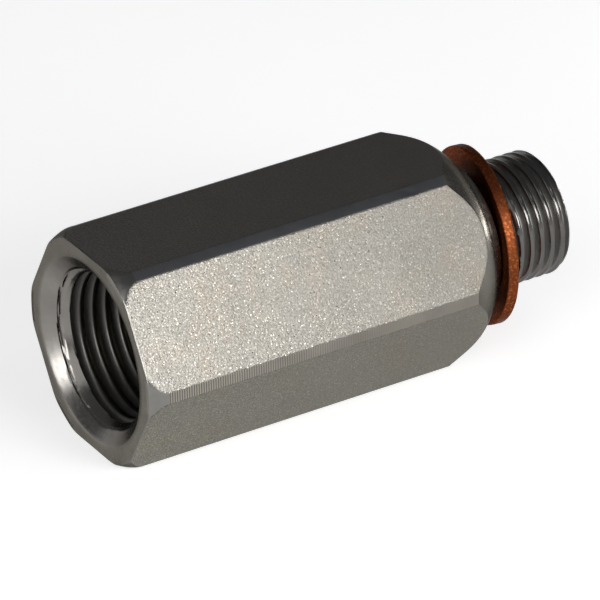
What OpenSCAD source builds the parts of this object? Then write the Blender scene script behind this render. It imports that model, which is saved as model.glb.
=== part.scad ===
// Hose rupture valve: a hexagonal in-line housing with a female port, a male
// stud and a spring-held poppet that shuts when the flow to the hose runs away.
// Each part is drawn standing on its own axis, with depth 0 at the port's mouth,
// and the finished valve is laid on one flat of the hexagon.

/* [Hexagonal body] */
// Distance across the flats of the hexagon bar
across_flats = 27; // [25:0.5:32]
// How much the turning takes off each corner, measured along the radius
corner_trim = 0.41; // [0.2:0.05:0.8]
// Length from the mouth face to the sealing shoulder
body_len = 51; // [49:0.5:70]
// Radial depth of the corner chamfer at the mouth
mouth_chamfer_r = 0.9; // [0.5:0.05:1.2]
// Axial length of the corner chamfer at the mouth
mouth_chamfer_len = 1.7; // [0.8:0.1:3]
// Axial length of the cone that leads down to the shoulder
cone_len = 4.7; // [3:0.1:7]
// Diameter of the flat sealing shoulder
shoulder_d = 24.3; // [22:0.1:25]

/* [Stud] */
// Diameter of the collar that the sealing washer leans on
collar_d = 18.4; // [17.6:0.1:20]
// Length of the collar
collar_len = 2.5; // [1:0.1:4]
// Chamfer on the collar's free edge
collar_chamfer = 0.3; // [0.1:0.05:0.6]
// Thread diameter over the crests
stud_d = 16; // [15.6:0.1:16.4]
// Length from the collar to the end of the stud
stud_len = 11.2; // [9:0.1:16]
// Diameter of the thread relief
stud_relief_d = 13.9; // [13:0.1:14.6]
// Width of the bottom of the thread relief
stud_relief_w = 2.1; // [1.5:0.1:3]
// Angle between the axis and the slope from the relief up to the thread
stud_relief_angle = 30; // [25:5:45]
// Chamfer at the end of the stud
stud_chamfer = 0.45; // [0.2:0.05:1]
// Diameter of the passage through the stud
passage_d = 10; // [8:0.1:10.6]
// Chamfer at the mouth of the passage
passage_chamfer = 0.5; // [0.2:0.05:1]

/* [Female port] */
// Diameter of the countersink in the mouth face
mouth_d = 24; // [22:0.1:25]
// Depth of the countersink
countersink_depth = 1.25; // [0.6:0.05:2]
// Diameter where the countersink meets the lead-in cone
lead_d = 20.4; // [19.6:0.1:21]
// Angle between the lead-in cone and the axis
lead_angle = 30; // [20:1:45]
// Thread diameter over the crests, the smallest of the hole
port_crest_d = 18.63; // [18.3:0.05:19.2]
// Depth of the end of the full thread
port_thread_end = 16.5; // [14:0.5:18]
// Diameter of the thread relief
port_relief_d = 21.2; // [20.6:0.1:22]
// Width of the thread relief, with its sloping side
port_relief_w = 3.1; // [2:0.1:4]
// Depth of the cartridge's front face, behind the relief
cartridge_depth = 23.6; // [22.6:0.2:26]

/* [Cartridge] */
// Mean diameter of the cartridge's thread
cartridge_d = 17.4; // [17:0.1:17.8]
// Thickness of the flange that stops the cartridge
flange_t = 1.4; // [1:0.1:2]
// Length of the undercut next to the flange
undercut_w = 1.2; // [0.6:0.1:2]
// Radial depth of the undercut and of the plain nose below the thread
undercut_depth = 0.4; // [0.2:0.05:0.6]
// Length of the plain nose
nose_len = 1.5; // [1:0.1:2.5]
// Depth of the recess for the nuts
nut_recess = 1; // [0.5:0.1:2]
// Thickness of the web with the flow holes
web_t = 4.4; // [3:0.1:6]
// Depth of the cup between the web and the valve seat
cup_depth = 6; // [5:0.1:8]
// Inner diameter of the valve seat
seat_d = 13.6; // [13.2:0.1:14]
// Number of flow holes
flow_holes = 6; // [4:1:6]
// Diameter of a flow hole
flow_hole_d = 3; // [2:0.1:3.2]
// Width of the two driver slots in the flange
driver_slot_w = 2.4; // [1.6:0.1:3]
// Length of the spring chamber beyond the seat
chamber_len = 12; // [10.5:0.5:13]

/* [Poppet] */
// Gap between the head and the seat when the valve is open
lift = 1.4; // [0.8:0.1:2]
// Diameter of the head
head_d = 15; // [14.4:0.1:15.4]
// Thickness of the head's rim
head_t = 1.6; // [1.2:0.1:2.5]
// Length of the cone on the upstream side of the head
head_cone_len = 3; // [1.5:0.1:4]
// Diameter of the flat tip of that cone
head_tip_d = 5; // [3:0.1:8]
// Depth of the pocket that centres the spring
spring_pocket = 0.4; // [0.2:0.05:0.8]
// Diameter of the stem
stem_d = 4; // [3.6:0.1:4.2]
// How far the stem stands out of the lock nut
stem_overrun = 1; // [0.6:0.1:2]
// Width of the screwdriver slot in the stem
stem_slot_w = 0.8; // [0.5:0.1:1]

/* [Spring and nuts] */
// Diameter of the spring wire
wire_d = 0.8; // [0.6:0.05:0.85]
// Mean diameter of the coils
coil_d = 5.8; // [5.6:0.05:6.2]
// Number of working coils between the two closed ends
working_coils = 4; // [3:0.5:4.5]
// Distance across the flats of both nuts
nut_flats = 7; // [6.6:0.1:8]
// Height of the adjusting nut
adjusting_nut_h = 2.9; // [2:0.1:3.4]
// Height of the lock nut
lock_nut_h = 2.2; // [1.6:0.1:3]

/* [Sealing washer] */
// Outer diameter of the washer
washer_d = 23; // [22:0.1:24]
// Hole diameter of the washer
washer_hole_d = 17; // [16.8:0.05:17.4]
// Thickness of the washer
washer_t = 1.5; // [1:0.1:2]
// Radius on the edges of the washer
washer_edge = 0.25; // [0.1:0.05:0.4]
// Angle by which the loose washer leans sideways on the stud
washer_lean = 7.8; // [0:0.2:10]

/* [Clearances] */
// Radial clearance of the stem in its guide and of each thread
running_gap = 0.03; // [0.02:0.01:0.08]
// Radial clearance of the cartridge's flange in the port
flange_gap = 0.2; // [0.1:0.05:0.4]
// Gap between loose pieces that lie against each other
rest_gap = 0.05; // [0.02:0.01:0.1]
// Gap between the hanging washer's hole and the stud
washer_gap = 0.3; // [0.05:0.05:0.4]

/* [Hidden] */

$fn = 96;
// Overlap that lets a cutter pass cleanly through a face
past = 1;
// Points on a quarter turn of a small rounded edge
edge_steps = 4;
// Flat sides round the spring wire, and rings along each coil
wire_sides = 8;
coil_rings = 20;
// Angle from a flat face to the 30 degree chamfer of a nut
nut_chamfer_angle = 30;
// Half of the point angle that a drill leaves
drill_half_angle = 59;
// Depth of the screwdriver slot compared with its width
slot_aspect = 1.25;
// Chamfer on small turned edges inside the valve
small_chamfer = 0.3;

hex_corner_r = across_flats / sqrt(3);
corner_r = hex_corner_r - corner_trim;
shoulder_r = shoulder_d / 2;
collar_r = collar_d / 2;
collar_end = body_len + collar_len;
stud_r = stud_d / 2;
stud_relief_r = stud_relief_d / 2;
stud_relief_end = collar_end + stud_relief_w;
stud_thread_start = stud_relief_end + (stud_r - stud_relief_r) / tan(stud_relief_angle);
total_len = collar_end + stud_len;
passage_r = passage_d / 2;

lead_r = lead_d / 2;
port_r = port_crest_d / 2;
lead_end = countersink_depth + (lead_r - port_r) / tan(lead_angle);
port_relief_r = port_relief_d / 2;
port_relief_end = port_thread_end + port_relief_w;

thread_r = cartridge_d / 2;
nose_r = thread_r - undercut_depth;
chamber_r = thread_r - undercut_depth / 2;
flange_face = cartridge_depth;
flange_seat = flange_face + flange_t;
web_front = flange_face + nut_recess;
web_back = web_front + web_t;
seat_face = web_back + cup_depth;
seat_r = seat_d / 2;
cartridge_thread_end = seat_face - nose_len;
chamber_end = seat_face + chamber_len;
drill_cone = (chamber_r - passage_r) / tan(drill_half_angle);

stem_r = stem_d / 2;
guide_r = stem_r + running_gap;
head_r = head_d / 2;
head_back = seat_face + lift;
head_front = head_back + head_t;
head_tip = head_front + head_cone_len;
coil_r = coil_d / 2;
wire_r = wire_d / 2;
pocket_r = coil_r + wire_r + small_chamfer;
flow_circle_r = (seat_r + pocket_r) / 2;

adjusting_nut_face = web_front - adjusting_nut_h;
lock_nut_face = adjusting_nut_face - lock_nut_h;
stem_end = lock_nut_face - stem_overrun;

spring_start = web_back + wire_r + rest_gap;
spring_end = head_back + spring_pocket - wire_r - rest_gap;
closed_pitch = wire_d + rest_gap;
coils = working_coils + 2;
working_pitch = (spring_end - spring_start - 2 * closed_pitch) / working_coils;

// Half the washer's thickness as measured along the valve's axis
washer_half = washer_t / 2 / cos(washer_lean);
washer_depth = collar_end + rest_gap + washer_half + (collar_r - collar_chamfer) * tan(washer_lean);
washer_hole_r = washer_hole_d / 2;

// Radius of the stud at a depth between the relief and the thread
function stud_surface(depth) =
    min(stud_r, stud_relief_r + max(0, depth - stud_relief_end) * tan(stud_relief_angle));

// How far the washer can drop before its hole meets the stud at an angle off the top
function drop_at(angle) =
    let (depth = washer_depth + washer_half + washer_hole_r * sin(angle) * tan(washer_lean))
        (washer_hole_r - stud_surface(depth)) / cos(angle);

washer_sag = min([for (angle = [0 : 15 : 75]) drop_at(angle)]) - washer_gap;

steel = [0.62, 0.61, 0.58];
dark_steel = [0.42, 0.42, 0.41];
copper = [0.72, 0.42, 0.25];
plated = [0.74, 0.71, 0.60];
spring_steel = [0.55, 0.57, 0.60];

// Lays a part drawn on its own axis on one flat, under the middle of the length
module lay_down() {
    translate([-total_len / 2, 0, across_flats / 2])
        rotate([90, 0, 90])
            children();
}

// Solid of revolution from a list of [radius, depth] points
module turned(points) {
    rotate_extrude()
        polygon(points);
}

// Points of a quarter circle about a corner's centre
function edge_arc(centre, radius, start) = [
    for (i = [0 : edge_steps])
        centre + radius * [cos(start + 90 * i / edge_steps), sin(start + 90 * i / edge_steps)]
];

// Outside of the housing as the lathe leaves it, corners and stud included
module turned_outline() {
    turned([
        [0, 0],
        [corner_r - mouth_chamfer_r, 0],
        [corner_r, mouth_chamfer_len],
        [corner_r, body_len - cone_len],
        [shoulder_r, body_len],
        [collar_r, body_len],
        [collar_r, collar_end - collar_chamfer],
        [collar_r - collar_chamfer, collar_end],
        [stud_relief_r, collar_end],
        [stud_relief_r, stud_relief_end],
        [stud_r, stud_thread_start],
        [stud_r, total_len - stud_chamfer],
        [stud_r - stud_chamfer, total_len],
        [0, total_len]
    ]);
}

// Everything that is bored out of the housing, from the mouth to the stud's end
module bored_out() {
    turned([
        [0, -past],
        [mouth_d / 2, -past],
        [mouth_d / 2, 0],
        [lead_r, countersink_depth],
        [port_r, lead_end],
        [port_r, port_thread_end],
        [port_relief_r, port_thread_end + port_relief_r - port_r],
        [port_relief_r, port_relief_end],
        [port_r, port_relief_end],
        [port_r, flange_seat],
        [thread_r + running_gap, flange_seat],
        [thread_r + running_gap, cartridge_thread_end],
        [chamber_r, cartridge_thread_end],
        [chamber_r, chamber_end],
        [passage_r, chamber_end + drill_cone],
        [passage_r, total_len - passage_chamfer],
        [passage_r + passage_chamfer, total_len],
        [passage_r + passage_chamfer, total_len + past],
        [0, total_len + past]
    ]);
}

module housing() {
    color(steel)
        lay_down()
            difference() {
                intersection() {
                    cylinder(r = hex_corner_r, h = total_len, $fn = 6);
                    turned_outline();
                }
                bored_out();
            }
}

// Loose on the stud: it leans on the collar and hangs from the top of its hole
module copper_washer() {
    inner = washer_hole_r + washer_edge;
    outer = washer_d / 2 - washer_edge;
    top = washer_t / 2 - washer_edge;
    color(copper)
        lay_down()
            translate([0, -washer_sag, washer_depth])
                rotate([0, -washer_lean, 0])
                    turned(concat(
                        edge_arc([outer, top], washer_edge, 0),
                        edge_arc([inner, top], washer_edge, 90),
                        edge_arc([inner, -top], washer_edge, 180),
                        edge_arc([outer, -top], washer_edge, 270)
                    ));
}

// Screwed into the housing up to its flange, with the stem's guide in its web
module cartridge_body() {
    flange_r = port_r - flange_gap;
    color(plated)
        lay_down()
            difference() {
                turned([
                    [guide_r, web_front],
                    [seat_r, web_front],
                    [seat_r, flange_face],
                    [flange_r - small_chamfer, flange_face],
                    [flange_r, flange_face + small_chamfer],
                    [flange_r, flange_seat],
                    [nose_r, flange_seat],
                    [nose_r, flange_seat + undercut_w],
                    [thread_r, flange_seat + undercut_w + undercut_depth],
                    [thread_r, cartridge_thread_end - undercut_depth],
                    [nose_r, cartridge_thread_end],
                    [nose_r, seat_face - small_chamfer],
                    [nose_r - small_chamfer, seat_face],
                    [seat_r, seat_face],
                    [seat_r, web_back],
                    [guide_r, web_back]
                ]);
                for (i = [0 : flow_holes - 1])
                    rotate([0, 0, (i + 0.5) * 360 / flow_holes])
                        translate([flow_circle_r, 0, web_front - past])
                            cylinder(d = flow_hole_d, h = web_t + 2 * past, $fn = 48);
                translate([-flange_r - past, -driver_slot_w / 2, flange_face - past])
                    cube([2 * (flange_r + past), driver_slot_w, past + nut_recess]);
            }
}

// Mushroom-shaped: the flat back of the head closes on the seat
module poppet() {
    slot_depth = stem_slot_w * slot_aspect;
    color(dark_steel)
        lay_down()
            difference() {
                turned([
                    [0, stem_end],
                    [stem_r - small_chamfer, stem_end],
                    [stem_r, stem_end + small_chamfer],
                    [stem_r, head_back + spring_pocket],
                    [pocket_r, head_back + spring_pocket],
                    [pocket_r, head_back],
                    [head_r - small_chamfer, head_back],
                    [head_r, head_back + small_chamfer],
                    [head_r, head_front],
                    [head_tip_d / 2, head_tip],
                    [0, head_tip]
                ]);
                translate([-stem_r - past, -stem_slot_w / 2, stem_end - past])
                    cube([stem_d + 2 * past, stem_slot_w, past + slot_depth]);
            }
}

// Height of the wire's centre after a number of turns, with both end coils closed
function wire_height(turns) =
    spring_start
    + closed_pitch * min(turns, 1)
    + working_pitch * max(0, min(turns - 1, working_coils))
    + closed_pitch * max(0, turns - 1 - working_coils);

// One ring of points round the wire
function wire_ring(turns) = [
    for (i = [0 : wire_sides - 1])
        let (around = 360 * (i + 0.5) / wire_sides, reach = coil_r + wire_r * cos(around))
            [
                reach * cos(360 * turns),
                reach * sin(360 * turns),
                wire_height(turns) + wire_r * sin(around)
            ]
];

module spring() {
    rings = round(coils * coil_rings);
    points = [for (k = [0 : rings]) each wire_ring(coils * k / rings)];
    sides = [
        for (k = [0 : rings - 1], i = [0 : wire_sides - 1])
            let (next = (i + 1) % wire_sides, a = k * wire_sides, b = a + wire_sides)
                [a + i, b + i, b + next, a + next]
    ];
    first_cap = [for (i = [0 : wire_sides - 1]) i];
    last_cap = [for (i = [wire_sides - 1 : -1 : 0]) rings * wire_sides + i];
    color(spring_steel)
        lay_down()
            polyhedron(points, concat(sides, [first_cap, last_cap]));
}

// Hexagon nut between two depths, chamfered on both faces
module hexagon_nut(face, height) {
    nut_corner_r = nut_flats / sqrt(3);
    bevel = (nut_corner_r - nut_flats / 2) * tan(nut_chamfer_angle);
    difference() {
        intersection() {
            translate([0, 0, face])
                cylinder(r = nut_corner_r, h = height, $fn = 6);
            turned([
                [0, face],
                [nut_flats / 2, face],
                [nut_corner_r, face + bevel],
                [nut_corner_r, face + height - bevel],
                [nut_flats / 2, face + height],
                [0, face + height]
            ]);
        }
        translate([0, 0, face - past])
            cylinder(r = guide_r, h = height + 2 * past);
    }
}

// Stops the poppet's opening stroke on the web and so sets the lift
module adjusting_nut() {
    color(plated)
        lay_down()
            hexagon_nut(adjusting_nut_face, adjusting_nut_h);
}

module lock_nut() {
    color(plated)
        lay_down()
            hexagon_nut(lock_nut_face, lock_nut_h);
}

housing();
copper_washer();
cartridge_body();
poppet();
spring();
adjusting_nut();
lock_nut();
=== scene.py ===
"""Looks of the hose rupture valve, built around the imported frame."""

import math

import bmesh
import bpy
import numpy as np
from mathutils import Matrix, Vector


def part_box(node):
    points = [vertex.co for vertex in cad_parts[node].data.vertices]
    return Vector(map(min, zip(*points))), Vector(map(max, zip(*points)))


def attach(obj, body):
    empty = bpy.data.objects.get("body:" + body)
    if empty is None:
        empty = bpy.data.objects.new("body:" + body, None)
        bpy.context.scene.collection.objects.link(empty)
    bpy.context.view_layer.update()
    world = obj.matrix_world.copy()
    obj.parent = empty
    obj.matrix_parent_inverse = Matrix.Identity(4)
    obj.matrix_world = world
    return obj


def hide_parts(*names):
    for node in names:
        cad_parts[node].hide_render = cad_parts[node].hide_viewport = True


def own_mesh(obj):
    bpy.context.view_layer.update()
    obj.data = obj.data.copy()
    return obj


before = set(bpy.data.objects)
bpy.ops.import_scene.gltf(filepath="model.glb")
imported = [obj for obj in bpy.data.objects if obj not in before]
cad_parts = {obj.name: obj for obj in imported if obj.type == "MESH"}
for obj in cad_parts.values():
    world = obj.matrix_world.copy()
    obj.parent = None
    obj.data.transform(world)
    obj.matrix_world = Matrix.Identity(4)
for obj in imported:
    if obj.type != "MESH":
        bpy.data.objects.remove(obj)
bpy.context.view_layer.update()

# Frame of the valve: depth is measured in millimetres along the axis from the port's mouth
MM = 0.001
HOUSING_LOW, HOUSING_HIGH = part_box("housing")
MOUTH_X = HOUSING_LOW.x
AXIS_Z = (HOUSING_LOW.z + HOUSING_HIGH.z) / 2
TAU = 2 * math.pi

# Housing in millimetres. The mouth's bevel, the cone and the collar's rim are nearer to the photograph
# than in the CAD part, and the rest follows it
APOTHEM = 13.5
CORNER_TRIM = 0.41
CORNER_R = APOTHEM * 2 / math.sqrt(3) - CORNER_TRIM
MOUTH_CHAMFER_R = 0.9
MOUTH_CHAMFER_LEN = 2.3
MOUTH_CHAMFER_CURVE = 1.8
MOUTH_EDGE = 0.08
CONE_START = 46.3
BODY_END = 51.0
NECK_START = BODY_END - 0.15
SHOULDER_R = 12.15
CONE_SWELL = 0.6
COLLAR_R = 9.46
COLLAR_END = 53.5
COLLAR_CHAMFER_LEN = 0.12
COLLAR_CHAMFER_R = 0.48
NECK_ROUND = 0.12
RUN_OUT_SLOPE = math.tan(math.radians(30))
RELIEF_R = 6.95
RELIEF_END = 55.6
STUD_R = 8.0
STUD_START = RELIEF_END + (STUD_R - RELIEF_R) / RUN_OUT_SLOPE
STUD_END = 64.7
STUD_CHAMFER = 0.45
STUD_TIP = 0.6
PASSAGE_R = 5.0
PASSAGE_CHAMFER = 0.5
MOUTH_R = 12.0
MOUTH_EDGE_R = MOUTH_R + 0.04
MOUTH_EDGE_INNER_R = MOUTH_R - 0.07
MOUTH_EDGE_DEPTH = 0.05
COUNTERSINK = 1.25
SINK_STEP = 0.06
SINK_STEP_WIDTH = 0.07
SINK_ROWS_END = 0.95
LEAD_R = 10.2
PORT_R = 9.315
LEAD_END = COUNTERSINK + (LEAD_R - PORT_R) / RUN_OUT_SLOPE
PORT_END = 16.5
PORT_RELIEF_R = 10.6
PORT_RELIEF_START = PORT_END + PORT_RELIEF_R - PORT_R
PORT_RELIEF_END = 19.6
CARTRIDGE_START = 25.0
CARTRIDGE_R = 8.73
CHAMBER_START = 33.5
CHAMBER_END = 47.0
CHAMBER_R = 8.5
DRILL_SLOPE = math.tan(math.radians(59))
PASSAGE_START = CHAMBER_END + (CHAMBER_R - PASSAGE_R) / DRILL_SLOPE

# Rounding where the flats meet the turned ends: everywhere, more up to the cone, most at the mouth
SOFT = 0.015
SOFT_BODY = 0.035
SOFT_BODY_END = 44
SOFT_FADE = 4
SOFT_MOUTH = 0.3
SOFT_MOUTH_LEN = 1.9

# Rows of faces along a flat, and the width in millimetres of the row at each of its joints
FLAT_ROWS = 120
JOINT = 0.05

# Where the rows of the bevel and of the cone lie, as shares of the way, and so how many faces they have
BEVEL_SHARES = (0, 0.25, 0.5, 0.75)
CONE_SHARES = (0.15, 0.3, 0.45, 0.6, 0.75, 0.9, 1)
BEVEL_ROWS = len(BEVEL_SHARES) + 2
CONE_ROWS = len(CONE_SHARES) + 1

# Least depth of the bevel's joints, and the number of samples that find the cone's
NEAR_LEAST = 0.13
CONE_SAMPLES = 200

# Threads: pitch, depth of the groove and the depth of a crest at angle 0
STUD_PITCH = 1.5
STUD_GROOVE = 0.9
STUD_PHASE = 56.735
PORT_PITCH = 1.814
PORT_GROOVE = 1.12
PORT_PHASE = 4.26

# Copper washer: its outline in millimetres, the steps of each corner's arc and how far it leans sideways
WASHER_R = 11.5
WASHER_HOLE_R = 8.5
WASHER_HALF = 0.75
WASHER_EDGE = 0.25
WASHER_ARC_STEPS = 5
WASHER_LEAN = math.radians(7.8)

# Waves of the washer's rim: the unit of their heights in millimetres, and their (count, height, start)
RIM_WAVE = 0.012
RIM_WAVES = [(3, 1.0, 1.0), (11, 0.6, 0.0), (23, 0.5, 2.0)]

# Spring in millimetres. Its room reaches from the back of the web to the pocket in the poppet's head, and
# the middle of its wire stays clear of both. It has a closed coil at each end
WEB_BACK = 29.0
HEAD_POCKET = 36.8
WIRE_CLEAR = 0.45
SPRING_START = WEB_BACK + WIRE_CLEAR
SPRING_END = HEAD_POCKET - WIRE_CLEAR
COIL_R = 2.9
WIRE_R = 0.369
WIRE_END_SHARE = 0.7
CLOSED_PITCH = 0.85
WORKING_COILS = 4

# Knocks on the turned corners: depth, angle in degrees, half width and height in millimetres
KNOCKS = [
    (23.1, 180, 0.5, 0.12),
    (38.9, 181, 0.4, 0.10),
    (40.8, 119, 0.6, 0.14),
    (41.6, 121, 0.4, 0.10),
    (12.4, 178, 0.4, 0.06),
]


def smooth_min(a, b, k):
    """The smaller of two lengths, rounded over k where they meet."""
    return np.minimum(a, b) - np.maximum(k - np.abs(a - b), 0) ** 2 / (4 * k)


def place(depth, radius, angle):
    """Points in the frame from depth, radius and angle, which starts at +Y and turns towards +Z."""
    depth, radius, angle = np.broadcast_arrays(depth, radius, angle)
    return np.stack(
        [
            MOUTH_X + depth * MM,
            radius * MM * np.cos(angle),
            AXIS_Z + radius * MM * np.sin(angle),
        ],
        axis=-1,
    )


# Points nearer to each other than this, in metres, are one point
MERGE = 2e-7


class Builder:
    """Collects vertices and quads, then makes one clean mesh object."""

    def __init__(self):
        self.points = []
        self.faces = []
        self.zones = []
        self.count = 0

    def grid(self, points, zone, wrap=True):
        """Adds rows by columns of points. Zone is one material number, or one for each face."""
        rows, columns = points.shape[:2]
        index = self.count + np.arange(rows * columns).reshape(rows, columns)
        if wrap:
            index = np.concatenate([index, index[:, :1]], axis=1)
        quads = np.stack(
            [index[:-1, :-1], index[1:, :-1], index[1:, 1:], index[:-1, 1:]], axis=-1
        )
        zone = np.broadcast_to(zone, quads.shape[:2])
        self.points.append(points.reshape(-1, 3))
        self.faces.append(quads.reshape(-1, 4))
        self.zones.append(zone.reshape(-1))
        self.count += rows * columns

    def object(self, name, materials, crease=32.0):
        """The mesh object, with doubles merged and edges sharper than crease degrees kept sharp."""
        mesh = bpy.data.meshes.new(name)
        mesh.from_pydata(
            np.concatenate(self.points).tolist(), [], np.concatenate(self.faces).tolist()
        )
        mesh.polygons.foreach_set(
            "material_index", np.concatenate(self.zones).astype(np.int32)
        )
        bm = bmesh.new()
        bm.from_mesh(mesh)
        bmesh.ops.remove_doubles(bm, verts=bm.verts, dist=MERGE)
        bmesh.ops.dissolve_degenerate(bm, edges=bm.edges, dist=MERGE)
        unused = [v for v in bm.verts if not v.link_faces]
        bmesh.ops.delete(bm, geom=unused, context="VERTS")
        bmesh.ops.recalc_face_normals(bm, faces=bm.faces)
        limit = math.radians(crease)
        for face in bm.faces:
            face.smooth = True
        for edge in bm.edges:
            edge.smooth = len(edge.link_faces) == 2 and edge.calc_face_angle() < limit
        bm.to_mesh(mesh)
        bm.free()
        for material in materials:
            mesh.materials.append(material)
        thing = bpy.data.objects.new(name, mesh)
        bpy.context.scene.collection.objects.link(thing)
        return thing


# Columns about the axis, closer together beside the six turned corners
EDGE_DEG = math.degrees(math.acos(APOTHEM / CORNER_R))
EDGE_STEP = 0.35
HALF_SECTOR = [0, 2.5, 5, 7.5, 10, 12.5, 15, 17.3, 19, 20.6, 22.2, 23.8, 25.2, 26.4]
HALF_SECTOR += [EDGE_DEG - EDGE_STEP, EDGE_DEG, EDGE_DEG + EDGE_STEP, 28.2, 29.1, 30]
OFFSETS = np.array([-d for d in HALF_SECTOR[:0:-1]] + HALF_SECTOR[:-1])
ANGLE = np.radians(np.concatenate([30 + 60 * k + OFFSETS for k in range(6)]))
FLAT_R = np.tile(APOTHEM / np.cos(np.radians(OFFSETS)), 6)


def ring(depth, radius):
    """One row of points round the axis."""
    return place(depth, radius, ANGLE)[None]


def rings(profile):
    """Rows of points from a list of (depth, radius) pairs."""
    return np.concatenate([ring(d, r) for d, r in profile])


# A corner straighter than this stays, and an arc takes up no more than this share of a side
NEARLY_STRAIGHT = math.radians(172)
ARC_SHARE = 0.45


def flat_rings(depth, start, end, shares):
    """Rows across a flat face, from one radius to another."""
    return np.concatenate([ring(depth, start + (end - start) * share) for share in shares])


def rounded(profile, radius, steps=3):
    """The same profile with a small arc at each corner between its ends."""
    points = [np.array(p, float) for p in profile]
    made = [tuple(points[0])]
    for before, corner, after in zip(points, points[1:], points[2:]):
        back = before - corner
        ahead = after - corner
        back_len = np.linalg.norm(back)
        ahead_len = np.linalg.norm(ahead)
        turn = math.acos(max(-1, min(1, float(back @ ahead) / (back_len * ahead_len))))
        if turn > NEARLY_STRAIGHT:
            made.append(tuple(corner))
            continue
        reach = min(radius / math.tan(turn / 2), back_len * ARC_SHARE, ahead_len * ARC_SHARE)
        start = corner + back / back_len * reach
        end = corner + ahead / ahead_len * reach
        for i in range(steps + 1):
            t = i / steps
            made.append(tuple((1 - t) ** 2 * start + 2 * t * (1 - t) * corner + t**2 * end))
    made.append(tuple(points[-1]))
    return made


class Thread:
    """A right-hand thread cut into a cylinder. Sign is -1 for a stud and +1 for a hole."""

    # Half of a groove: place as a share of the pitch from the crest, and depth as a share of the groove
    HALF_TURN = np.array([0.0, 0.15, 0.2, 0.31, 0.42, 0.46, 0.5])
    HALF_CUT = np.array([0.0, 0.03, 0.09, 0.5, 0.93, 0.99, 1.0])
    TURN = np.concatenate([-HALF_TURN[:0:-1], HALF_TURN])
    CUT = np.concatenate([HALF_CUT[:0:-1], HALF_CUT])
    # Points of a helix closer than this to its end, in millimetres, lie on the end
    SNAP = 0.012

    def __init__(self, crest_r, pitch, groove, phase, sign, envelope):
        self.crest_r = crest_r
        self.pitch = pitch
        self.groove = groove
        self.phase = phase
        self.sign = sign
        self.envelope = envelope

    def radius(self, depth, angle):
        turn = (depth - self.phase) / self.pitch - angle / TAU
        turn = turn - np.round(turn)
        r = self.crest_r + self.sign * self.groove * np.interp(turn, self.TURN, self.CUT)
        limit = self.envelope(depth)
        return np.minimum(r, limit) if self.sign < 0 else np.maximum(r, limit)

    def rows(self, depths):
        """Plain rows across the thread, for its ends."""
        return np.concatenate([ring(d, self.radius(d, ANGLE)) for d in depths])

    def helix(self, low, high):
        """Rows that follow the thread. The last column closes on the first, one pitch further on."""
        angle = np.append(ANGLE, ANGLE[0] + TAU)
        first = math.floor((low - self.phase) / self.pitch) - 2
        last = math.ceil((high - self.phase) / self.pitch) + 1
        turns = np.concatenate([m + self.TURN[:-1] for m in range(first, last + 1)])
        depth = self.phase + self.pitch * (turns[:, None] + angle[None] / TAU)
        depth = np.clip(depth, low, high)
        depth = np.where(depth - low < self.SNAP, low, depth)
        depth = np.where(high - depth < self.SNAP, high, depth)
        return place(depth, self.radius(depth, angle[None]), angle[None])


def stud_envelope(depth):
    """The stud's outside without its thread."""
    slope = RELIEF_R + (depth - RELIEF_END) * RUN_OUT_SLOPE
    chamfer = STUD_R - (depth - (STUD_END - STUD_CHAMFER))
    return np.minimum(np.minimum(slope, chamfer), STUD_R)


def port_envelope(depth):
    """The port's inside without its thread. The tool leaves a small step where the countersink ends."""
    sink = MOUTH_R - depth / COUNTERSINK * (MOUTH_R - LEAD_R)
    lead = LEAD_R - (depth - COUNTERSINK) * RUN_OUT_SLOPE
    beyond = (depth - COUNTERSINK - SINK_STEP_WIDTH) / SINK_STEP_WIDTH
    lead = lead + SINK_STEP * np.exp(-(beyond**2))
    slope = PORT_R + depth - PORT_END
    return np.maximum(np.where(depth < COUNTERSINK, sink, np.maximum(lead, slope)), PORT_R)


STUD_THREAD = Thread(STUD_R, STUD_PITCH, STUD_GROOVE, STUD_PHASE, -1, stud_envelope)
PORT_THREAD = Thread(PORT_R, PORT_PITCH, PORT_GROOVE, PORT_PHASE, 1, port_envelope)

# Material numbers of the housing, in the order of its list of steels
FLAT, STRIP, FACE, BEVEL, BORED, THREAD, STUD = range(7)


def turned_radius(depth):
    """Outside radius of the corners, from the mouth's chamfer to the cone."""
    left = np.maximum(1 - depth / MOUTH_CHAMFER_LEN, 0)
    near = CORNER_R - MOUTH_CHAMFER_R * left**MOUTH_CHAMFER_CURVE
    far = CORNER_R - (depth - CONE_START) * (CORNER_R - SHOULDER_R) / (BODY_END - CONE_START)
    share = np.clip((depth - CONE_START) / (BODY_END - CONE_START), 0, 1)
    far = far + CONE_SWELL * share * (1 - share) * 4 * share
    return np.minimum(np.minimum(near, far), CORNER_R)


def outside(depth):
    """Hexagon and turned ends together. The corners at the mouth are rubbed rounder than the far ones."""
    soft = SOFT + SOFT_BODY * np.clip((SOFT_BODY_END - depth) / SOFT_FADE, 0, 1)
    soft = soft + SOFT_MOUTH * np.exp(-((depth / SOFT_MOUTH_LEN) ** 2))
    return smooth_min(FLAT_R, turned_radius(depth), soft)


def knocked(depth):
    """How far the knocks push each column in, at the depth of each column."""
    depth = np.broadcast_to(depth, ANGLE.shape)
    push = np.zeros(ANGLE.shape)
    for at, degrees, width, height in KNOCKS:
        aside = CORNER_R * np.angle(np.exp(1j * (ANGLE - math.radians(degrees))))
        push += height * np.exp(-((depth - at) ** 2 + aside**2) / width**2)
    return push


def joints():
    """Depths at which each column passes from the mouth's bevel to the flat, and on to the cone."""
    left = (np.maximum(CORNER_R - FLAT_R, 0) / MOUTH_CHAMFER_R) ** (1 / MOUTH_CHAMFER_CURVE)
    near = np.clip(MOUTH_CHAMFER_LEN * (1 - left), NEAR_LEAST, MOUTH_CHAMFER_LEN)
    cone = np.linspace(CONE_START, BODY_END, CONE_SAMPLES)
    far = np.interp(-FLAT_R, -turned_radius(cone), cone)
    return near, far


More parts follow.
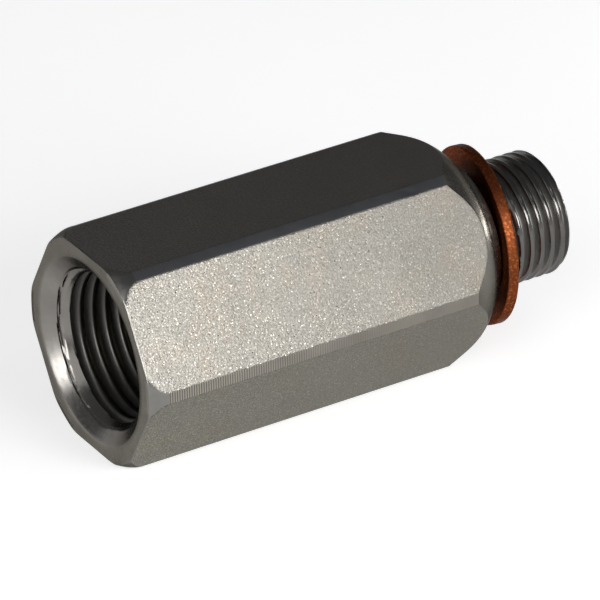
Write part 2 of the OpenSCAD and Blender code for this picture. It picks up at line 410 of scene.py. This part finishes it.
def hexagon_rows(builder):
    """The hexagon's outside with its turned ends. Each column has its own joints between flat and cone."""
    near, far = joints()
    length = far - near - 2 * JOINT
    rest = NECK_START - far - JOINT
    depths = [MOUTH_EDGE + (near - MOUTH_EDGE) * t for t in BEVEL_SHARES]
    depths += [near - MOUTH_EDGE / 2, near, near + JOINT]
    depths += [near + JOINT + length * i / FLAT_ROWS for i in range(1, FLAT_ROWS)]
    depths += [far - JOINT, far, far + JOINT]
    depths += [far + JOINT + rest * t for t in CONE_SHARES]
    rows = [ring(0.0, outside(0.0) - MOUTH_EDGE)]
    rows += [ring(d, outside(d) - knocked(d)) for d in depths]
    # Between its two joints a face belongs to the drawn flat or to the turned corner strip
    zones = np.full((len(rows) - 1, len(ANGLE)), FACE)
    zones[:BEVEL_ROWS] = BEVEL
    middles = np.append(OFFSETS[:-1] + OFFSETS[1:], OFFSETS[-1] + 30) / 2
    on_flat = np.tile(np.abs(middles) < EDGE_DEG, 6)
    zones[BEVEL_ROWS:-CONE_ROWS, :] = np.where(on_flat[None], FLAT, STRIP)
    builder.grid(np.concatenate(rows), zones)


def mouth_rows(builder):
    """Countersink from the end of the thread's run-out, and the face round it."""
    sink = PORT_THREAD.rows([SINK_ROWS_END, 0.6, 0.3])
    edge = rings([(MOUTH_EDGE_DEPTH, MOUTH_EDGE_INNER_R), (0.0, MOUTH_EDGE_R)])
    builder.grid(np.concatenate([sink, edge]), BORED)
    builder.grid(flat_rings(0.0, MOUTH_EDGE_R, outside(0.0) - MOUTH_EDGE, (0, 0.33, 0.66, 1)), FACE)


def neck_rows(builder):
    """Shoulder, collar and relief, up to the stud's thread."""
    neck = [
        (NECK_START, float(turned_radius(NECK_START))),
        (BODY_END, SHOULDER_R),
        (BODY_END, COLLAR_R),
        (COLLAR_END - COLLAR_CHAMFER_LEN, COLLAR_R),
        (COLLAR_END, COLLAR_R - COLLAR_CHAMFER_R),
        (COLLAR_END, RELIEF_R),
        (RELIEF_END, RELIEF_R),
    ]
    builder.grid(rings(rounded(neck, NECK_ROUND)), FACE)


def stud_rows(builder):
    """The stud's thread with its run-out, its chamfered tip and its face."""
    start = math.ceil(STUD_START * 10) / 10
    tip = STUD_END - STUD_TIP
    builder.grid(STUD_THREAD.rows(np.linspace(RELIEF_END, start, 14)), STUD)
    builder.grid(STUD_THREAD.helix(start, tip), STUD, wrap=False)
    builder.grid(STUD_THREAD.rows(np.linspace(tip, STUD_END, 9)), STUD)
    end_r = STUD_THREAD.radius(STUD_END, ANGLE)
    builder.grid(flat_rings(STUD_END, end_r, PASSAGE_R + PASSAGE_CHAMFER, (0, 0.5, 1)), STUD)


def bore_rows(builder):
    """The bore from the stud's face back to the port, and the port's thread."""
    bore = [
        (STUD_END, PASSAGE_R + PASSAGE_CHAMFER),
        (STUD_END - PASSAGE_CHAMFER, PASSAGE_R),
        (PASSAGE_START, PASSAGE_R),
        (CHAMBER_END, CHAMBER_R),
        (CHAMBER_START, CHAMBER_R),
        (CHAMBER_START, CARTRIDGE_R),
        (CARTRIDGE_START, CARTRIDGE_R),
        (CARTRIDGE_START, PORT_R),
        (PORT_RELIEF_END, PORT_R),
        (PORT_RELIEF_END, PORT_RELIEF_R),
        (PORT_RELIEF_START, PORT_RELIEF_R),
    ]
    builder.grid(rings(bore), BORED)
    builder.grid(PORT_THREAD.rows(np.linspace(PORT_RELIEF_START, PORT_END, 10)), THREAD)
    builder.grid(PORT_THREAD.helix(LEAD_END, PORT_END)[::-1], THREAD, wrap=False)
    builder.grid(PORT_THREAD.rows(np.linspace(LEAD_END, SINK_ROWS_END, 16)), BORED)


def build_housing(materials):
    """The housing, from the mouth along the outside to the stud's face and back through the bore."""
    b = Builder()
    mouth_rows(b)
    hexagon_rows(b)
    neck_rows(b)
    stud_rows(b)
    bore_rows(b)
    return b.object("valve_housing", materials)


def washer_outline():
    """The washer's section as (radius, height) pairs, with a small arc at each of its four corners."""
    outer = WASHER_R - WASHER_EDGE
    inner = WASHER_HOLE_R + WASHER_EDGE
    top = WASHER_HALF - WASHER_EDGE
    corners = [(outer, top, 0), (inner, top, 90), (inner, -top, 180), (outer, -top, 270)]
    outline = []
    for radius, height, start in corners:
        for step in range(WASHER_ARC_STEPS + 1):
            around = math.radians(start + 90 * step / WASHER_ARC_STEPS)
            out = radius + WASHER_EDGE * math.cos(around)
            up = height + WASHER_EDGE * math.sin(around)
            outline.append((out, up))
    return outline + outline[:1]


def build_washer(material, columns=180):
    """The loose washer, leaning sideways, with soft edges and a slightly uneven rim."""
    turn = np.linspace(0, TAU, columns, endpoint=False)
    waves = sum(height * np.sin(count * turn + start) for count, height, start in RIM_WAVES)
    highest = sum(height for _, height, _ in RIM_WAVES)
    uneven = RIM_WAVE * (waves - highest)
    low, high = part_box("copper_washer")
    middle = np.array((low + high) / 2)
    axis = np.array([math.cos(WASHER_LEAN), -math.sin(WASHER_LEAN), 0.0])
    side = np.array([math.sin(WASHER_LEAN), math.cos(WASHER_LEAN), 0.0])
    up = np.array([0.0, 0.0, 1.0])
    rows = []
    for radius, height in washer_outline():
        on_rim = radius > WASHER_R - WASHER_EDGE
        reach = radius + uneven if on_rim else np.full_like(turn, radius)
        reach = reach[:, None] * MM
        point = middle + axis * height * MM + side * reach * np.cos(turn)[:, None]
        rows.append(point + up * reach * np.sin(turn)[:, None])
    b = Builder()
    b.grid(np.array(rows), 0)
    return b.object("sealing_washer", [material], crease=60.0)


def build_spring(material, coil_steps=44, wire_steps=16):
    """Wire swept along the coils, with round ends."""
    coils = WORKING_COILS + 2
    working_pitch = (SPRING_END - SPRING_START - 2 * CLOSED_PITCH) / WORKING_COILS
    turns = np.linspace(0, coils, coils * coil_steps + 1)[:, None]
    climb = CLOSED_PITCH * np.minimum(turns, 1) + working_pitch * np.clip(turns - 1, 0, WORKING_COILS)
    climb = climb + CLOSED_PITCH * np.maximum(0, turns - 1 - WORKING_COILS)
    around = np.linspace(0, TAU, wire_steps, endpoint=False)[None]
    rows = place(
        SPRING_START + climb + WIRE_R * np.sin(around), COIL_R + WIRE_R * np.cos(around), turns * TAU
    )
    first = np.repeat(rows[:1].mean(axis=1, keepdims=True), wire_steps, axis=1)
    last = np.repeat(rows[-1:].mean(axis=1, keepdims=True), wire_steps, axis=1)
    rim_in = first + (rows[:1] - first) * WIRE_END_SHARE
    rim_out = last + (rows[-1:] - last) * WIRE_END_SHARE
    b = Builder()
    b.grid(np.concatenate([first, rim_in, rows, rim_out, last]), 0)
    return b.object("valve_spring", [material], crease=50.0)


class Graph:
    """Short names for building a material's nodes."""

    def __init__(self, name):
        self.material = bpy.data.materials.new(name)
        self.material.use_nodes = True
        self.tree = self.material.node_tree
        self.shader = self.tree.nodes["Principled BSDF"]

    def link(self, source, socket):
        if isinstance(source, bpy.types.NodeSocket):
            self.tree.links.new(source, socket)
        else:
            socket.default_value = source

    def node(self, kind, inputs=None, output=0, **settings):
        made = self.tree.nodes.new(kind)
        for key, value in settings.items():
            setattr(made, key, value)
        for key, value in (inputs or {}).items():
            self.link(value, made.inputs[key])
        return made.outputs[output]

    def math(self, operation, a, b=0.0):
        return self.node("ShaderNodeMath", {0: a, 1: b}, operation=operation)

    def vector(self, operation, inputs):
        return self.node("ShaderNodeVectorMath", inputs, operation=operation)

    def place(self):
        return self.node("ShaderNodeTexCoord", output="Object")

    def scaled(self, vector, x, y, z):
        return self.node("ShaderNodeMapping", {"Vector": vector, "Scale": (x, y, z)})

    def noise(self, vector, scale, detail=2.0, rough=0.5, seed=0.0):
        return self.node(
            "ShaderNodeTexNoise",
            {"Vector": vector, "W": seed, "Scale": scale, "Detail": detail, "Roughness": rough},
            noise_dimensions="4D",
        )

    def cells(self, vector, scale):
        """A cell pattern's distance and colour."""
        made = self.tree.nodes.new("ShaderNodeTexVoronoi")
        self.link(vector, made.inputs["Vector"])
        self.link(scale, made.inputs["Scale"])
        return made.outputs["Distance"], made.outputs["Color"]

    def range(self, value, low, high, to_low=0.0, to_high=1.0):
        return self.node(
            "ShaderNodeMapRange",
            {"Value": value, "From Min": low, "From Max": high, "To Min": to_low, "To Max": to_high},
        )

    def mix(self, share, a, b):
        """A blend of two colours. A mix node has its colours in sockets 6 and 7, and gives socket 2."""
        made = self.tree.nodes.new("ShaderNodeMix")
        made.data_type = "RGBA"
        self.link(share, made.inputs[0])
        self.link(a, made.inputs[6])
        self.link(b, made.inputs[7])
        return made.outputs[2]

    def bump(self, height, distance, strength=1.0):
        return self.node("ShaderNodeBump", {"Height": height, "Distance": distance, "Strength": strength})

    def axes(self):
        """x, y and z in the frame, in metres."""
        parts = self.tree.nodes.new("ShaderNodeSeparateXYZ")
        self.link(self.place(), parts.inputs[0])
        return parts.outputs[0], parts.outputs[1], parts.outputs[2]

    def around(self):
        """Distance from the valve's axis and x along it, both in metres."""
        x, y, z = self.axes()
        z = self.math("SUBTRACT", z, AXIS_Z)
        square = self.math("ADD", self.math("MULTIPLY", y, y), self.math("MULTIPLY", z, z))
        return self.math("SQRT", square), x

    def finish(self, **sockets):
        """Sets or links sockets of the shader, named with underscores, and gives the material."""
        for key, value in sockets.items():
            self.link(value, self.shader.inputs[key.replace("_", " ")])
        return self.material


# Most values of a noise lie between these two
NOISE_BAND = (0.3, 0.7)

# Flats: grains and cells in one metre, how far a bright facet leans and the share of dark cells
GRAIN_SCALE = 4300.0
CELL_SCALE = 3700.0
FACET_TILT = 0.30
PIT_SHARE = 0.02

# Flats: the grain is full at the mouth and this share of it from FAR_END on. The painted shade that darkens
# the flats and the strips towards their far end also ends at FAR_END
FAR_END = MOUTH_X + 0.045
FAR_COARSE = 0.4

# Heights in the frame, in metres, between which painted shade and tint change: at the axis and on the
# strips; and at the top flat, where the facets and their painted glint fade
AXIS_BAND = (AXIS_Z - 0.0008, AXIS_Z + 0.0004)
STRIP_BAND = (0.018, 0.024)
TOP_BAND = (0.0264, 0.0268)

# Feed of the tool that turned the corners, in metres
FEED = 0.000335

# Threads: how deep the crest ends and the root starts, in millimetres, and how much paler and duller the
# root is. The paler root is painted light in the groove
CREST_END = 0.12
ROOT_START = 0.5
ROOT_TONE = 2.0


def warm(g, shade, red, blue):
    """A colour from one shade, with shares for its red and its blue."""
    return g.node(
        "ShaderNodeCombineColor",
        {0: g.math("MULTIPLY", shade, red), 1: shade, 2: g.math("MULTIPLY", shade, blue)},
    )


def tool_grain(g):
    """Fine unevenness of a turned surface, drawn out across the axis."""
    return g.noise(g.scaled(g.place(), 1.0, 0.12, 0.12), 3800.0, 2.0, 0.6)


def facets(g, near, colour, coarse, z):
    """Cells of a fine pattern that are facets, and the few that are dark specks. A facet is brighter by a
    painted glint.
    """
    parts = g.tree.nodes.new("ShaderNodeSeparateColor")
    g.link(colour, parts.inputs[0])
    middle = g.range(near, 0.26, 0.44, 1.0, 0.0)
    facet = g.math("MULTIPLY", middle, g.range(parts.outputs[2], 0.2, 0.9))
    # Fewer facets, and so less painted glint, towards the far end and on the top flat
    facet = g.math("MULTIPLY", facet, g.range(coarse, FAR_COARSE, 1.0, 0.65, 1.0))
    facet = g.math("MULTIPLY", facet, g.range(z, *TOP_BAND, 1.0, 0.3))
    pit = g.math("MULTIPLY", middle, g.math("LESS_THAN", parts.outputs[2], PIT_SHARE))
    return facet, g.math("MULTIPLY", pit, g.range(coarse, 0.6, 1.0))


def flat_tone(g, grain, coarse, upper, facet, pit):
    """How bright the skin is: soft patches, the grain, the facets and the specks, with painted shade and a
    painted glint.
    """
    base = g.range(g.noise(g.place(), 130.0, 3.0, 0.6), *NOISE_BAND, 0.165, 0.185)
    # Painted shade: the flats below the axis are darker
    base = g.math("MULTIPLY", base, g.range(upper, 0.0, 1.0, 0.73, 0.96))
    # Painted shade: the flats darken towards their far end
    base = g.math("MULTIPLY", base, g.range(coarse, FAR_COARSE, 1.0, 0.865, 1.0))
    spread = g.math("MULTIPLY", g.math("SUBTRACT", grain, 0.5), 0.24)
    tone = g.math("ADD", base, g.math("MULTIPLY", spread, coarse))
    # Painted glint: the facets are brighter in colour
    tone = g.math("ADD", tone, g.math("MULTIPLY", facet, 0.10))
    return g.math("MULTIPLY", tone, g.math("SUBTRACT", 1.0, g.math("MULTIPLY", pit, 0.5)))


def tilted(g, normal, colour, facet):
    """The normal, with each facet leaning its own way."""
    tilt = g.vector("SUBTRACT", {0: colour, 1: (0.5, 0.5, 0.5)})
    tilt = g.vector("SCALE", {0: tilt, "Scale": g.math("MULTIPLY", facet, FACET_TILT)})
    return g.vector("NORMALIZE", {0: g.vector("ADD", {0: normal, 1: tilt})})


def drawn_flat():
    """The bar's skin: an even sandy grain, small facets and a few dark specks, with painted shade and a
    painted glint.
    """
    g = Graph("zinc_flat")
    p = g.place()
    x, _, z = g.axes()
    coarse = g.range(x, MOUTH_X, FAR_END, 1.0, FAR_COARSE)
    upper = g.range(z, *AXIS_BAND)
    grain = g.noise(p, GRAIN_SCALE, 1.0, 0.5, 3.0)
    near, colour = g.cells(p, CELL_SCALE)
    facet, pit = facets(g, near, colour, coarse, z)
    tone = flat_tone(g, grain, coarse, upper, facet, pit)
    stain = g.range(g.noise(p, 150.0, 3.0, 0.6, 6.0), 0.5, 0.72)
    red = g.math("ADD", 1.05, g.math("MULTIPLY", stain, 0.07))
    # Painted shade: the flats below the axis are warmer in tint
    blue = g.math("SUBTRACT", g.range(upper, 0.0, 1.0, 0.80, 0.89), g.math("MULTIPLY", stain, 0.05))
    sand = g.math("ADD", grain, g.math("MULTIPLY", near, 0.4))
    normal = tilted(g, g.bump(sand, 0.000034, coarse), colour, facet)
    rough = g.math("SUBTRACT", 0.38, g.math("MULTIPLY", facet, 0.15))
    return g.finish(Base_Color=warm(g, tone, red, blue), Metallic=1.0, Roughness=rough, Normal=normal)


def corner_strip():
    """Turned corner: regular feed marks, strongest near the mouth and below the axis, with painted light
    and shade.
    """
    g = Graph("zinc_strip")
    p = g.place()
    along, _, z = g.axes()
    wobble = g.math("MULTIPLY", g.noise(p, 300.0, 1.0), 0.00006)
    wave = g.math("SINE", g.math("MULTIPLY", g.math("ADD", along, wobble), TAU / FEED))
    strength = g.range(along, MOUTH_X + 0.006, MOUTH_X + 0.034, 1.0, 0.05)
    strength = g.math("MULTIPLY", strength, g.range(z, *STRIP_BAND, 1.0, 0.15))
    marks = g.math("MULTIPLY", wave, strength)
    patch = g.range(g.noise(p, 240.0, 3.0, 0.6, 2.0), *NOISE_BAND, 0.19, 0.235)
    # Painted shade: the strips darken towards their far end
    patch = g.math("MULTIPLY", patch, g.range(along, MOUTH_X + 0.01, FAR_END, 1.0, 0.88))
    # Painted light: the upper strips are paler
    patch = g.math("MULTIPLY", patch, g.range(z, *STRIP_BAND, 1.0, 1.16))
    # The light and dark bands of the feed in the colour are a painted reflection; their shape is a bump
    shade = g.math("MULTIPLY", patch, g.math("ADD", 1.0, g.math("MULTIPLY", marks, 0.5)))
    fine = tool_grain(g)
    normal = g.bump(g.math("ADD", marks, g.math("MULTIPLY", fine, 0.6)), 0.000008)
    # Painted light: the upper strips are bluer and the lower ones warmer
    red = g.range(z, *STRIP_BAND, 1.07, 0.98)
    blue = g.range(z, *STRIP_BAND, 0.87, 1.04)
    return g.finish(Base_Color=warm(g, shade, red, blue), Metallic=1.0, Roughness=0.32, Normal=normal)


def turned_steel(
    name, tone, rough, pitch=0.00022, depth=0.000003, red=1.08, blue=0.87, rim=0.25, thread=None
):
    """Turned surface with fine rings left by the tool. The roots of a thread are duller, and paler by
    painted light.
    """
    g = Graph(name)
    radius, along = g.around()
    p = g.place()
    wobble = g.math("MULTIPLY", g.noise(p, 400.0, 1.0), 0.00005)
    turns = g.math("ADD", g.math("ADD", along, radius), wobble)
    wave = g.math("SINE", g.math("MULTIPLY", turns, TAU / pitch))
    uneven = tool_grain(g)
    height = g.math("ADD", g.math("MULTIPLY", wave, 0.5), uneven)
    normal = g.bump(height, depth)
    patch = g.noise(p, 260.0, 3.0, 0.6, 2.0)
    shade = g.range(patch, *NOISE_BAND, tone * 0.88, tone * 1.1)
    fine = g.noise(p, 1500.0, 2.0, 0.5, 5.0)
    roughness = g.range(fine, *NOISE_BAND, rough * 0.85, rough * 1.15)
    if thread:
        crest_end = thread.crest_r + thread.sign * CREST_END
        root_start = thread.crest_r + thread.sign * ROOT_START
        # Painted light: the roots of the thread are paler, and they are also rougher
        root = g.range(radius, crest_end * MM, root_start * MM, 1.0, ROOT_TONE)
        shade = g.math("MULTIPLY", shade, root)
        roughness = g.math("MULTIPLY", roughness, root)
    return g.finish(
        Base_Color=warm(g, shade, red, blue),
        Metallic=1.0,
        Roughness=roughness,
        Normal=normal,
        Specular_Tint=(rim, rim, rim, 1.0),
    )


def copper():
    """Dull copper with darker stains and a fine grain that sparkles on the rim."""
    g = Graph("copper")
    p = g.place()
    patch = g.range(g.noise(p, 420.0, 4.0, 0.65), 0.35, 0.68)
    colour = g.mix(patch, (0.165, 0.044, 0.015, 1), (0.12, 0.032, 0.012, 1))
    grain = g.noise(p, 3400.0, 2.0, 0.6, 4.0)
    bright = g.range(grain, 0.52, 0.66)
    colour = g.mix(g.math("MULTIPLY", bright, 0.7), colour, (0.42, 0.12, 0.035, 1))
    coarse = g.noise(p, 1100.0, 2.0, 0.6, 9.0)
    normal = g.bump(g.math("ADD", grain, g.math("MULTIPLY", coarse, 1.5)), 0.00004, 0.9)
    rough = g.math("SUBTRACT", 0.42, g.math("MULTIPLY", bright, 0.1))
    return g.finish(
        Base_Color=colour,
        Metallic=1.0,
        Roughness=rough,
        Normal=normal,
        Specular_Tint=(0.42, 0.47, 0.49, 1.0),
    )


def simple_metal(name, colour, rough):
    """A plain metal with soft darker patches, for what lies inside."""
    g = Graph(name)
    p = g.place()
    patch = g.noise(p, 500.0, 3.0, 0.6)
    dark = tuple(0.78 * c for c in colour[:3]) + (1.0,)
    normal = g.bump(g.noise(p, 3000.0, 2.0, 0.5, 1.0), 0.00001, 0.6)
    shade = g.mix(g.range(patch, 0.35, 0.65), colour, dark)
    fine = g.noise(p, 1100.0, 2.0, 0.5, 5.0)
    roughness = g.range(fine, *NOISE_BAND, rough * 0.85, rough * 1.2)
    return g.finish(Base_Color=shade, Metallic=1.0, Roughness=roughness, Normal=normal)


ZINC_FLAT = drawn_flat()
ZINC_STRIP = corner_strip()
ZINC_FACE = turned_steel("zinc_face", 0.195, 0.26, depth=0.0000012, red=1.06, blue=0.90)
# Painted light: the mouth's bevel is a slightly paler copy of the face
ZINC_BEVEL = turned_steel("zinc_bevel", 0.21, 0.30, red=1.02, blue=0.94)
ZINC_BORED = turned_steel("zinc_bored", 0.205, 0.24, pitch=0.0003, red=1.05, blue=0.93)
# Painted shade: the port's thread is a much darker copy of the bored zinc
ZINC_THREAD = turned_steel(
    "zinc_thread", 0.075, 0.34, pitch=0.0003, red=1.03, blue=0.93, thread=PORT_THREAD
)
ZINC_STUD = turned_steel(
    "zinc_stud",
    0.125,
    0.20,
    pitch=0.00012,
    depth=0.0000006,
    red=1.03,
    blue=0.95,
    rim=0.6,
    thread=STUD_THREAD,
)
COPPER = copper()
PLATED = simple_metal("plated_steel", (0.46, 0.40, 0.25, 1.0), 0.34)
GROUND = simple_metal("ground_steel", (0.44, 0.44, 0.43, 1.0), 0.24)
SPRING = simple_metal("spring_steel", (0.30, 0.31, 0.32, 1.0), 0.30)


def declare(piece, node):
    """Puts a piece on the valve's body and hides the CAD node that it stands for."""
    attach(piece, "valve_body")
    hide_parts(node)


STEELS = [ZINC_FLAT, ZINC_STRIP, ZINC_FACE, ZINC_BEVEL, ZINC_BORED, ZINC_THREAD, ZINC_STUD]
housing = build_housing(STEELS)
washer = build_washer(COPPER)
spring = build_spring(SPRING)
declare(housing, "housing")
declare(washer, "copper_washer")
declare(spring, "spring")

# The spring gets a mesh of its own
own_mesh(spring)

NODE_MATERIALS = {
    "cartridge_body": (PLATED, "plated_steel"),
    "adjusting_nut": (PLATED, "plated_steel"),
    "lock_nut": (PLATED, "plated_steel"),
    "poppet": (GROUND, "ground_steel"),
}
for name, (material, slot) in NODE_MATERIALS.items():
    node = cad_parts[name]
    node.data.materials.clear()
    node.data.materials.append(material)

# Camera as fitted to the photograph's edges: its place and its right, down and forward directions
CAMERA_AT = (MOUTH_X - 0.33761634, -0.61325532, AXIS_Z + 0.39686190)
CAMERA_AXES = (
    (0.85169699, -0.52363793, -0.02038534),
    (-0.27042342, -0.40585707, -0.87301272),
    (0.44886904, 0.74905498, -0.4872712),
)
FOCAL_PIXELS = 6647.9365
PICTURE_PIXELS = 600

camera_data = bpy.data.cameras.new("camera")
camera = bpy.data.objects.new("camera", camera_data)
bpy.context.scene.collection.objects.link(camera)
right, down, forward = (Vector(v) for v in CAMERA_AXES)
turn = Matrix((right, -down, -forward)).transposed()
camera.matrix_world = Matrix.Translation(CAMERA_AT) @ turn.to_4x4()
camera_data.sensor_width = 36.0
camera_data.lens = FOCAL_PIXELS / PICTURE_PIXELS * camera_data.sensor_width
camera_data.clip_start = 0.05
camera_data.clip_end = 50.0
camera_data.dof.use_dof = False
bpy.context.scene.camera = camera

# Floor from its middle to its rim: radius and height in metres, and how pale it shows
FLOOR_PROFILE = [
    (0.0001, 0.0),
    (0.5, 0.0),
    (1.5, 0.0),
    (2.4, 0.0),
    (2.7, 0.02),
    (2.9, 0.09),
    (3.0, 0.2),
    (3.05, 0.5),
]
FLOOR_TONE = 0.72
FLOOR_GLOW = 0.60


def build_floor():
    """A pale disc whose far rim rises a little, so that the horizon stays pale."""
    b = Builder()
    angle = np.linspace(0, TAU, 96, endpoint=False)
    rows = [
        np.stack([r * np.cos(angle), r * np.sin(angle), np.full_like(angle, z)], axis=-1)
        for r, z in FLOOR_PROFILE
    ]
    b.grid(np.array(rows), 0)
    g = Graph("pale_floor")
    path = g.tree.nodes.new("ShaderNodeLightPath")
    seen = g.math("MAXIMUM", path.outputs["Is Camera Ray"], path.outputs["Is Glossy Ray"])
    seen = g.math("MAXIMUM", seen, path.outputs["Is Transmission Ray"])
    g.finish(
        Base_Color=(FLOOR_TONE, FLOOR_TONE, FLOOR_TONE, 1.0),
        Roughness=0.9,
        Specular_IOR_Level=0.0,
        Emission_Color=(1.0, 1.0, 1.0, 1.0),
        Emission_Strength=g.math("MULTIPLY", seen, FLOOR_GLOW),
    )
    thing = b.object("floor", [g.material])


build_floor()


def sun(name, towards, strength, spread):
    """A distant soft lamp that shines from the direction towards, with its spread in degrees."""
    data = bpy.data.lights.new(name, "SUN")
    data.energy = strength
    data.angle = math.radians(spread)
    thing = bpy.data.objects.new(name, data)
    bpy.context.scene.collection.objects.link(thing)
    thing.rotation_mode = "QUATERNION"
    thing.rotation_quaternion = Vector(towards).to_track_quat("Z", "Y")


def softbox(name, at, aim, width, height, radiance):
    """A lamp with a flat face of the given brightness, where 1 is white."""
    data = bpy.data.lights.new(name, "AREA")
    data.shape = "RECTANGLE"
    data.size = width
    data.size_y = height
    data.energy = radiance * math.pi * width * height
    thing = bpy.data.objects.new(name, data)
    bpy.context.scene.collection.objects.link(thing)
    thing.location = at
    thing.visible_camera = False
    thing.rotation_mode = "QUATERNION"
    thing.rotation_quaternion = (Vector(at) - Vector(aim)).to_track_quat("Z", "Y")


# Points that the lamps are aimed at: the valve's middle, its stud, and the far end of the front flat
MIDDLE = (0, 0, AXIS_Z)
STUD_POINT = (0.028, 0, AXIS_Z)
CONE_POINT = (0.0187, -0.008, 0.0205)
WORLD_COLOUR = (0.148, 0.148, 0.153, 1)

softbox("key", (0.055, -0.33, 0.18), MIDDLE, width=0.15, height=0.15, radiance=10.2)
softbox("front", (0.198, -0.30, 0.168), STUD_POINT, width=0.06, height=0.06, radiance=11.0)
softbox("small", (0.205, -0.207, 0.36), STUD_POINT, width=0.05, height=0.05, radiance=6.5)
softbox("left", (-0.42, -0.09, 0.068), MIDDLE, width=0.32, height=0.13, radiance=6.0)
softbox("right", (0.134, 0.0225, 0.0045), CONE_POINT, width=0.045, height=0.008, radiance=30.0)
sun("fill", (-0.7, -0.45, 0.55), strength=0.6, spread=50)

world = bpy.data.worlds.new("studio")
world.use_nodes = True
world.node_tree.nodes["Background"].inputs["Color"].default_value = WORLD_COLOUR
bpy.context.scene.world = world

scene = bpy.context.scene
scene.view_settings.view_transform = "Standard"
